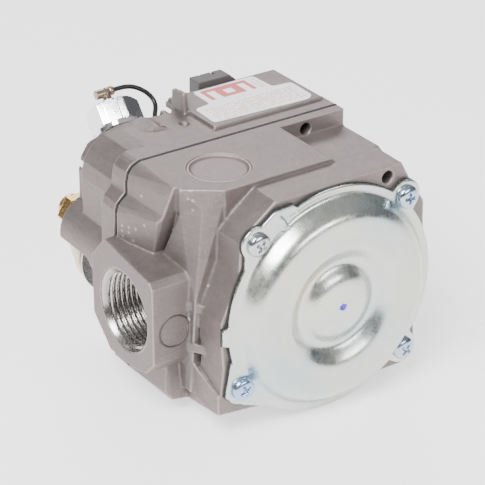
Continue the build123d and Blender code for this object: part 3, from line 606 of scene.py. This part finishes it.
# ---- screws --------------------------------------------------------------------------------------
def pan_head(name, face, direction, head_r, shank_r, shank, material, turn=0.3):
    """Pan-head screw with a cross recess; face is where the head's underside sits."""
    height = head_r * 0.62
    rings = 26
    rows = [(0, -shank), (shank_r - 0.3, -shank), (shank_r, -shank + 0.6)]
    for i in range(int(shank / 0.35)):
        rows.append((shank_r - 0.22 * (i % 2), -shank + 0.8 + i * 0.35))
    rows = [row for row in rows if row[1] < -0.3]
    rows += [(shank_r, -0.2), (shank_r, 0.0), (head_r * 0.97, 0.0), (head_r, 0.12), (head_r, height * 0.34)]
    for i in range(1, rings):
        share = i / rings
        r = head_r * (1 - share)
        edge = 1 - share
        rows.append((r, height * (0.34 + 0.66 * math.sqrt(max(0.0, 1 - edge ** 2.6)))))
    rows.append((0, height))
    piece = turned(name, rows, face, direction, material, 96)
    axes = axes_for(direction)
    half, wide = head_r * 0.52, head_r * 0.13
    spin = Matrix.Rotation(turn, 3, "Z")
    for vertex in piece.data.vertices:
        local = axes.inverted() @ (vertex.co - Vector(face)) / MM
        flat = spin @ Vector((local.x, local.y, 0))
        x, y = abs(flat.x), abs(flat.y)
        if local.z < height * 0.5:
            continue
        slot = max(min((half - x) / 0.25, (wide - y) / 0.12), min((half - y) / 0.25, (wide - x) / 0.12))
        if slot > 0:
            reach = math.hypot(x, y) / half
            depth = head_r * (0.46 - 0.22 * reach) * min(1.0, slot)
            vertex.co -= axes @ Vector((0, 0, depth * MM))
    return piece


def screw_set(name, node, faces, direction, head_r, shank_r, shank, slot):
    screws = []
    for i, face in enumerate(faces):
        turn = 0.5 + 1.1 * i
        screws.append(pan_head(f"{name}_{i}", face, direction, head_r, shank_r, shank, MATERIALS[slot], turn))
    return place(joined(name, screws), [node], "valve", slot)


COVER_SCREW_R = 3.9
HEAD_SCREW_R = 3.2
TERMINAL_SCREW_R = 1.9
HEAD_HEIGHT_SHARE = 0.72           # height of a CAD screw head over its radius
cover_front = cover_back - SHEET_T
cover_faces = [
    COVER_AXIS
    + Vector((SCREW_CIRCLE_R * math.cos(a), cover_front - cover_back, SCREW_CIRCLE_R * math.sin(a)))
    for a in SCREW_ANGLES
]
screw_set("cover_screw_set", "cover_screws", cover_faces, (0, -1, 0), COVER_SCREW_R, 1.8, 10.0, "zinc_screw")
HEAD_SCREWS = [(15.1, 30.0), (48.0, 40.0), (86.0, 31.0), (13.5, -25.5), (51.0, -26.0), (88.0, -25.5)]
screw_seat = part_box("head_screws")[1].y - HEAD_SCREW_R * HEAD_HEIGHT_SHARE * MM
head_faces = [Vector((x * MM, screw_seat, z * MM)) for x, z in HEAD_SCREWS]
screw_set("head_screw_set", "head_screws", head_faces, (0, 1, 0), HEAD_SCREW_R, 1.8, 20.0, "zinc_screw")


# ---- safety magnet's nut, terminal and lead --------------------------------------------------------
def hexagon(across_flats, phase, base):
    """Radius rule of a hexagon that stands on a round flange below the given height."""
    flat = across_flats / 2 * MM

    def radius_at(radius, height, angle):
        if height < base - 1e-6:
            return radius
        turn = (angle - phase + math.pi / 6) % (math.pi / 3) - math.pi / 6
        return min(radius, flat / math.cos(turn))

    return radius_at


def nut_piece():
    axes = axes_for(MAGNET_AXIS)
    sideways = Vector((1, 0, -0.1))
    phase = math.atan2(sideways.dot(axes.col[1]), sideways.dot(axes.col[0]))
    rows = [
        (3.2, -6.0), (6.2, -6.0), (6.2, -1.9), (8.2, -1.9), (8.45, -1.65), (8.45, -0.4), (8.2, -0.1),
        (9.3, 0.0), (9.3, 6.75), (9.02, 6.9), (8.75, 7.1), (8.4, 7.35), (7.95, 7.62), (7.4, 7.78),
        (3.7, 7.78), (3.3, 7.5), (3.2, 7.2), (3.2, -6.0),
    ]
    sides = hexagon(NUT_AF, phase, 0.0)
    made = turned("magnet_hex_nut", rows, MAGNET_FOOT, MAGNET_AXIS, MATERIALS["chrome"], 360, sides)
    return place(crisp(made, 18), ["magnet_nut"], "valve", "chrome")


def terminal_piece():
    look = MATERIALS["tinned_brass"]
    stud = [(0, 9.0), (2.4, 9.0), (2.6, 9.2), (2.6, 9.8), (2.4, 10.0), (1.6, 10.0)]
    stud += [(1.6 - 0.16 * (i % 2), 10.2 + 0.25 * i) for i in range(8)]
    stud += [(1.3, 12.3), (0, 12.4)]
    barrel = [
        (0, -6.6), (1.4, -6.6), (1.58, -6.4), (1.58, -3.8), (1.2, -3.5), (1.2, -3.2), (1.58, -2.9),
        (1.58, -1.9), (1.38, -1.6), (1.58, -1.3), (1.58, -0.25), (1.4, 0.0), (0, 0.0),
    ]
    start = Vector(LEAD_ROUTE[0]) * MM
    run = Vector(LEAD_ROUTE[1]) - Vector(LEAD_ROUTE[0])
    stud_piece = turned("stud", stud, MAGNET_FOOT, MAGNET_AXIS, look, 48)
    barrel_piece = turned("barrel", barrel, start, run, look, 48)
    made = joined("crimped_terminal", [stud_piece, barrel_piece])
    return place(crisp(made, 40), ["crimp_terminal"], "valve", "tinned_brass")


def lead_piece():
    curve = bpy.data.curves.new("lead", "CURVE")
    curve.dimensions = "3D"
    curve.bevel_depth = LEAD_R
    curve.bevel_resolution = 6
    curve.use_fill_caps = True
    spline = curve.splines.new("NURBS")
    spline.points.add(len(LEAD_ROUTE) - 1)
    for point, at in zip(spline.points, LEAD_ROUTE):
        point.co = (at[0] * MM, at[1] * MM, at[2] * MM, 1.0)
    spline.order_u = 3
    spline.use_endpoint_u = True
    spline.resolution_u = 16
    source = bpy.data.objects.new("lead_source", curve)
    bpy.context.scene.collection.objects.link(source)
    bpy.context.view_layer.update()
    mesh = bpy.data.meshes.new_from_object(source.evaluated_get(bpy.context.evaluated_depsgraph_get()))
    bpy.data.objects.remove(source)
    made = new_piece("magnet_lead", mesh, MATERIALS["lead_insulation"])
    return place(made, ["lead_wire"], "valve", "lead_insulation")


nut_piece()
terminal_piece()
lead_piece()


# ---- label, plug and the other small pieces --------------------------------------------------------
def rounded(corners, radius, steps=6):
    """Outline with each corner replaced by a short curve."""
    made = []
    count = len(corners)
    for i, corner in enumerate(corners):
        corner = Vector(corner)
        before, after = Vector(corners[i - 1]) - corner, Vector(corners[(i + 1) % count]) - corner
        reach = min(radius, before.length * 0.45, after.length * 0.45)
        first, last = corner + before.normalized() * reach, corner + after.normalized() * reach
        for k in range(steps + 1):
            t = k / steps
            made.append(first * (1 - t) ** 2 + corner * 2 * t * (1 - t) + last * t ** 2)
    return made


LABEL_OUTLINE = [
    (47.4, 19.4), (84.0, 17.6), (86.4, 19.6), (86.8, 32.0), (79.6, 32.6), (79.0, 43.6), (54.6, 43.4),
    (54.4, 32.4), (48.0, 31.6),
]


def label_look():
    """White printed label: red panel and rows of short dashes that stand for print."""
    paint = Paint("label_print_look", Roughness=0.34)
    split = paint.node("SeparateXYZ", {0: paint.place})
    u = paint.maths("MULTIPLY", split.outputs["X"], 1000.0)
    v = paint.maths("MULTIPLY", split.outputs["Y"], 1000.0)

    def within(low_u, high_u, low_v, high_v):
        sides = [
            paint.maths("GREATER_THAN", u, low_u), paint.maths("LESS_THAN", u, high_u),
            paint.maths("GREATER_THAN", v, low_v), paint.maths("LESS_THAN", v, high_v),
        ]
        inside = sides[0]
        for side in sides[1:]:
            inside = paint.maths("MULTIPLY", inside, side)
        return inside

    def dashes(pitch, fill, seed):
        row = paint.maths("DIVIDE", v, pitch)
        line = paint.maths("LESS_THAN", paint.maths("FRACT", row), fill)
        shift = paint.maths("MULTIPLY", paint.maths("FLOOR", row), 7.3 + seed)
        step = paint.node("CombineXYZ", {"X": u, "Y": shift})
        gaps = paint.noise(0.9, 1.0, 0.5, step.outputs[0])
        return paint.maths("MULTIPLY", line, paint.maths("GREATER_THAN", gaps, 0.46))

    mottle = paint.ranged(paint.noise(160.0, 4.0), 0.3, 0.7)
    paper = paint.mixed(mottle, (0.80, 0.79, 0.80), (0.87, 0.86, 0.87))
    red = (0.52, 0.05, 0.06)
    pale_red = (0.60, 0.10, 0.11)
    small = paint.maths("MULTIPLY", dashes(1.25, 0.38, 0.0), within(50.0, 84.5, 19.6, 29.5))
    tone = paint.mixed(paint.maths("MULTIPLY", small, 0.75), paper, pale_red)
    upper = paint.maths("MULTIPLY", dashes(1.5, 0.42, 2.0), within(75.6, 78.4, 33.5, 42.5))
    tone = paint.mixed(paint.maths("MULTIPLY", upper, 0.75), tone, pale_red)
    tone = paint.mixed(within(56.6, 74.5, 34.2, 42.4), tone, red)
    tone = paint.mixed(within(58.2, 61.2, 34.1, 40.6), tone, paper)
    tone = paint.mixed(within(64.0, 67.4, 36.2, 39.6), tone, paper)
    tone = paint.mixed(within(70.4, 73.0, 34.1, 40.6), tone, paper)
    paint.bump(paint.noise(700.0, 3.0), 0.06, 0.00005)
    return paint.done(tone)


def label_piece():
    low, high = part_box("rating_label")
    outline = rounded(LABEL_OUTLINE, 1.6)
    count = len(outline)
    top = high.z - 0.01 * MM
    points = [(p.x * MM, p.y * MM, z) for z in (low.z + 0.01 * MM, top) for p in outline]
    faces = [tuple(reversed(range(count))), tuple(range(count, 2 * count))]
    faces += [(i, (i + 1) % count, count + (i + 1) % count, count + i) for i in range(count)]
    made = new_piece("printed_label", mesh_of("label", points, faces, False), label_look())
    return place(made, ["rating_label"], "valve", "label_paper")


def plug_piece():
    middle_top = middle("top_disc_plug")
    seat = Vector((middle_top.x, middle_top.y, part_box("top_disc_plug")[1].z + 0.2 * MM))
    rows = [
        (0, -2.85), (10.1, -2.85), (10.1, -0.45), (9.95, -0.26), (9.6, -0.24), (9.3, -0.5), (8.9, -0.92),
        (8.2, -0.95), (5.0, -0.84), (0, -0.78),
    ]
    made = turned("pressed_top_plug", rows, seat, (0, 0, 1), MATERIALS["plug_steel"], 120)
    return place(crisp(made, 50), ["top_disc_plug"], "valve", "plug_steel")


def soft_copy(name, node, slot, body="valve", voxel=FINE_VOXEL, passes=3):
    """The node's own shape with its edges eased."""
    made = softened(copy_of(node, name, MATERIALS[slot]), voxel, passes)
    return place(made, [node], body, slot)


def mark_ring():
    """Plain raised ring cast on the front wall of the inlet boss."""
    centre = Vector((7.8, -17.3, -1.5)) * MM
    rows = [(5.0, -0.3), (5.0, 0.1), (5.2, 0.34), (5.55, 0.34), (5.75, 0.1), (5.75, -0.3), (5.0, -0.3)]
    made = turned("foundry_ring", rows, centre, (0, -1, 0), MATERIALS["body_casting"], 96)
    return place(made, [], "valve", "body_casting")


label_piece()
plug_piece()
mark_ring()
# the terminal block is dark; its tone also stands in as painted shade on the head's wall
soft_copy("terminal_block_moulding", "terminal_block", "block_plastic")
soft_copy("pilot_tube_fitting", "pilot_fitting", "brass", voxel=0.2 * MM, passes=2)
soft_copy("regulator_cap_turned", "regulator_cap", "cap_aluminium", voxel=0.25 * MM, passes=2)
soft_copy("fluted_knob", "control_knob", "ivory_plastic", "knob", 0.28 * MM, 4)
TERMINALS = (59.9, 64.4, 68.9)
TERMINAL_Z = 38.0
terminal_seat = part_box("terminal_block")[1].y
terminal_faces = [Vector((x * MM, terminal_seat, TERMINAL_Z * MM)) for x in TERMINALS]
screw_set(
    "terminal_screw_set", "terminal_screws", terminal_faces, (0, 1, 0), TERMINAL_SCREW_R, 1.45, 4.3, "zinc_screw"
)


# ---- camera, light and floor ---------------------------------------------------------------------
CAMERA_AZIMUTH = -34.3
CAMERA_ELEVATION = 28.0
CAMERA_LENS = 148.45
CAMERA_AT = (0.03734, 0.02149, 0.6275)      # right, up and back from the frame's origin


def camera():
    azimuth, elevation = math.radians(CAMERA_AZIMUTH), math.radians(CAMERA_ELEVATION)
    right = Vector((math.cos(azimuth), math.sin(azimuth), 0))
    back = Vector((
        math.sin(azimuth) * math.cos(elevation),
        -math.cos(azimuth) * math.cos(elevation),
        math.sin(elevation),
    ))
    up = back.cross(right)
    data = bpy.data.cameras.new("camera")
    data.sensor_width = 36.0
    data.lens = CAMERA_LENS
    data.clip_start = 0.02
    data.clip_end = 20.0
    made = bpy.data.objects.new("camera", data)
    place_m = right * CAMERA_AT[0] + up * CAMERA_AT[1] + back * CAMERA_AT[2]
    made.matrix_world = Matrix.Translation(place_m) @ Matrix((right, up, back)).transposed().to_4x4()
    bpy.context.scene.collection.objects.link(made)
    bpy.context.scene.camera = made


FLOOR_GLOW = 1.25
FLOOR_HALF = 6.0


def floor():
    half = FLOOR_HALF
    z = cad_low.z
    corners = [(-half, -half, z), (half, -half, z), (half, half, z), (-half, half, z)]
    paint = Paint("floor_look", Roughness=0.5)
    paint.shader.inputs["Specular IOR Level"].default_value = 0.25
    tone = paint.mixed(paint.ranged(paint.noise(3.0), 0.3, 0.7), (0.80, 0.765, 0.775), (0.83, 0.80, 0.81))
    paint.bump(paint.noise(300.0), 0.02, 0.0002)
    paint.shader.inputs["Emission Color"].default_value = (1.0, 0.975, 0.98, 1.0)
    paint.shader.inputs["Emission Strength"].default_value = FLOOR_GLOW
    made = new_piece("floor", mesh_of("floor", corners, [(0, 1, 2, 3)]), paint.done(tone))


def softbox(name, place_m, size, power):
    data = bpy.data.lights.new(name, "AREA")
    data.shape = "RECTANGLE"
    data.size, data.size_y = size
    data.energy = power
    made = bpy.data.objects.new(name, data)
    made.location = place_m
    target = (cad_low + cad_high) / 2
    made.rotation_mode = "QUATERNION"
    made.rotation_quaternion = (target - Vector(place_m)).to_track_quat("-Z", "Y")
    bpy.context.scene.collection.objects.link(made)


SKY_LOW = 0.14
SKY_HIGH = 0.60


def world():
    made = bpy.data.worlds.new("studio")
    made.use_nodes = True
    tree = made.node_tree
    sky = tree.nodes["Background"]
    place_socket = tree.nodes.new("ShaderNodeTexCoord").outputs["Generated"]
    split = tree.nodes.new("ShaderNodeSeparateXYZ")
    ramp = tree.nodes.new("ShaderNodeMapRange")
    tree.links.new(place_socket, split.inputs[0])
    tree.links.new(split.outputs["Z"], ramp.inputs["Value"])
    for key, value in (("From Min", 0.12), ("From Max", 0.75), ("To Min", SKY_LOW), ("To Max", SKY_HIGH)):
        ramp.inputs[key].default_value = value
    sky.inputs["Color"].default_value = (0.94, 0.94, 0.97, 1.0)
    tree.links.new(ramp.outputs["Result"], sky.inputs["Strength"])
    bpy.context.scene.world = made


camera()
floor()
world()
softbox("key", (-0.66, -0.40, 1.0), (0.62, 0.62), 34.0)
softbox("front", (0.35, -1.2, 0.55), (0.7, 0.3), 7.0)
softbox("rim", (0.6, 0.9, 0.8), (0.8, 0.4), 9.0)
